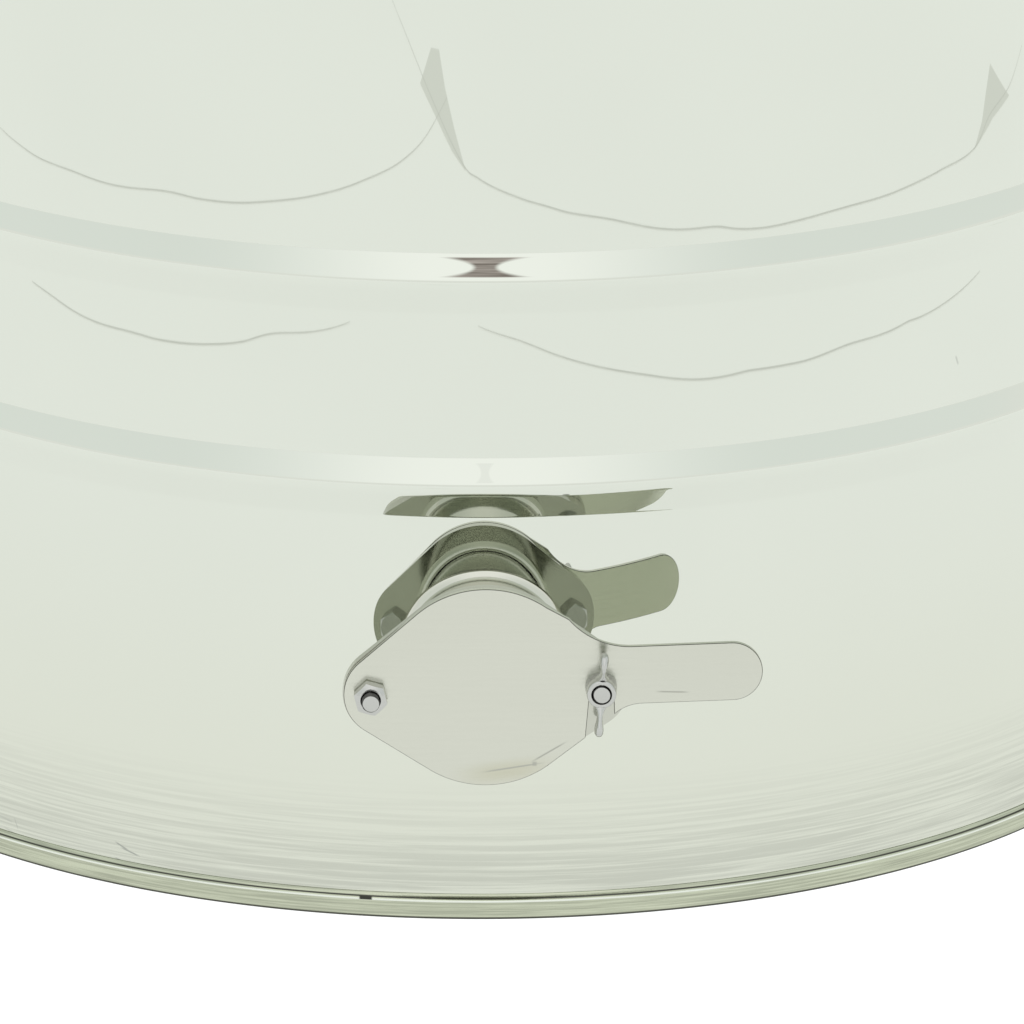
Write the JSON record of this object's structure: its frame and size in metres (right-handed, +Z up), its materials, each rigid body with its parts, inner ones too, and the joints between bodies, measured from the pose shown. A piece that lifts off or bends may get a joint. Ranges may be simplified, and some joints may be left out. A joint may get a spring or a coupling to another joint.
{
  "type": "honey extractor",
  "caption": "Round steel drum on splayed legs with a lever outlet gate, a hand-cranked geared comb basket and hinged clear lids.",
  "frame": {"origin": "on the floor, at the centre of the four foot anchor holes, on the drum's axis", "axes": "+Z up along the drum's axis, -Y towards the honey gate, +X towards the crank"},
  "size_m": [0.7503, 0.5574, 1.1247],
  "materials": {
    "drum_steel": "mirror-polished stainless sheet",
    "gate_steel": "polished stainless steel",
    "bolt_steel": "turned stainless fasteners",
    "frame_steel": "brushed stainless sheet",
    "hinge_steel": "stamped stainless sheet",
    "shaft_steel": "ground stainless bar",
    "gear_steel": "machined steel",
    "basket_steel": "welded stainless wire and plate",
    "cast_alloy": "cast and machined alloy",
    "bronze": "sintered bronze",
    "seal_rubber": "food-grade silicone",
    "foot_rubber": "moulded rubber",
    "grip_plastic": "moulded handle",
    "knob_plastic": "moulded knob",
    "clear_lid": "clear acrylic sheet"
  },
  "bodies": {
    "stand": {"drum_wall": "drum_steel", "rim_band": "drum_steel", "floor_pan": "drum_steel", "gate_pipe": "gate_steel", "gate_weld": "gate_steel", "gate_flange": "gate_steel", "gate_seal": "seal_rubber", "gate_bolts": "bolt_steel", "pivot_nut": "bolt_steel", "crossbar_bolts": "bolt_steel", "leg_bolts": "bolt_steel", "leg_1": "frame_steel", "foot_pad_1": "foot_rubber", "leg_2": "frame_steel", "foot_pad_2": "foot_rubber", "leg_3": "frame_steel", "foot_pad_3": "foot_rubber", "leg_4": "frame_steel", "foot_pad_4": "foot_rubber", "crossbar": "frame_steel", "rim_clamp_1": "frame_steel", "rim_clamp_2": "frame_steel", "bottom_cup": "frame_steel", "top_housing": "cast_alloy", "bracket_inner": "cast_alloy", "bracket_outer": "cast_alloy", "top_bush": "bronze", "bottom_bush": "bronze", "thrust_ball": "bolt_steel", "hinge_fixed_back": "hinge_steel", "hinge_fixed_front": "hinge_steel"},
    "basket": {"basket_shaft": "shaft_steel", "pinion": "gear_steel", "pinion_nut": "bolt_steel", "basket_plate_lower": "basket_steel", "basket_plate_upper": "basket_steel", "pocket_sides": "basket_steel", "outer_screen_1": "basket_steel", "inner_screen_1": "basket_steel", "outer_screen_2": "basket_steel", "inner_screen_2": "basket_steel", "outer_screen_3": "basket_steel", "inner_screen_3": "basket_steel", "outer_screen_4": "basket_steel", "inner_screen_4": "basket_steel"},
    "crank": {"crank_shaft": "shaft_steel", "crank_collar": "shaft_steel", "crank_gear": "gear_steel", "crank_arm": "frame_steel", "crank_nut": "bolt_steel", "grip_pin": "bolt_steel"},
    "grip": {"crank_grip": "grip_plastic"},
    "blade": {"gate_blade": "gate_steel"},
    "wing_nut": {"wing_nut": "gate_steel"},
    "lid_back": {"lid_back": "clear_lid", "knob_back": "knob_plastic", "hinge_leaf_back": "hinge_steel"},
    "lid_front": {"lid_front": "clear_lid", "knob_front": "knob_plastic", "hinge_leaf_front": "hinge_steel"}
  },
  "joints": [
    {"name": "basket_spin", "type": "hinge", "parent": "stand", "child": "basket", "pos_m": [0, 0, 0.5385], "axis": [0, 0, 1], "continuous": true},
    {"name": "crank_turn", "type": "hinge", "parent": "stand", "child": "crank", "pos_m": [0.296, 0, 1.08405], "axis": [1, 0, 0], "continuous": true},
    {"name": "grip_spin", "type": "hinge", "parent": "crank", "child": "grip", "pos_m": [0.36, 0, 0.92405], "axis": [1, 0, 0], "continuous": true},
    {"name": "gate_swing", "type": "hinge", "parent": "stand", "child": "blade", "pos_m": [-0.03816, -0.2843, 0.47303], "axis": [0, -1, 0], "range_deg": [0, 90]},
    {"name": "wing_nut_turn", "type": "hinge", "parent": "stand", "child": "wing_nut", "pos_m": [0.03829, -0.2894, 0.47597], "axis": [0, -1, 0], "range_deg": [0, 360]},
    {"name": "lid_back_hinge", "type": "hinge", "parent": "stand", "child": "lid_back", "pos_m": [0, 0.048, 1.02735], "axis": [1, 0, 0], "range_deg": [0, 90]},
    {"name": "lid_front_hinge", "type": "hinge", "parent": "stand", "child": "lid_front", "pos_m": [0, -0.048, 1.02735], "axis": [-1, 0, 0], "range_deg": [0, 90]}
  ],
  "couplings": [
    {"joint": "crank_turn", "follows": "basket_spin", "ratio": 0.4}
  ]
}
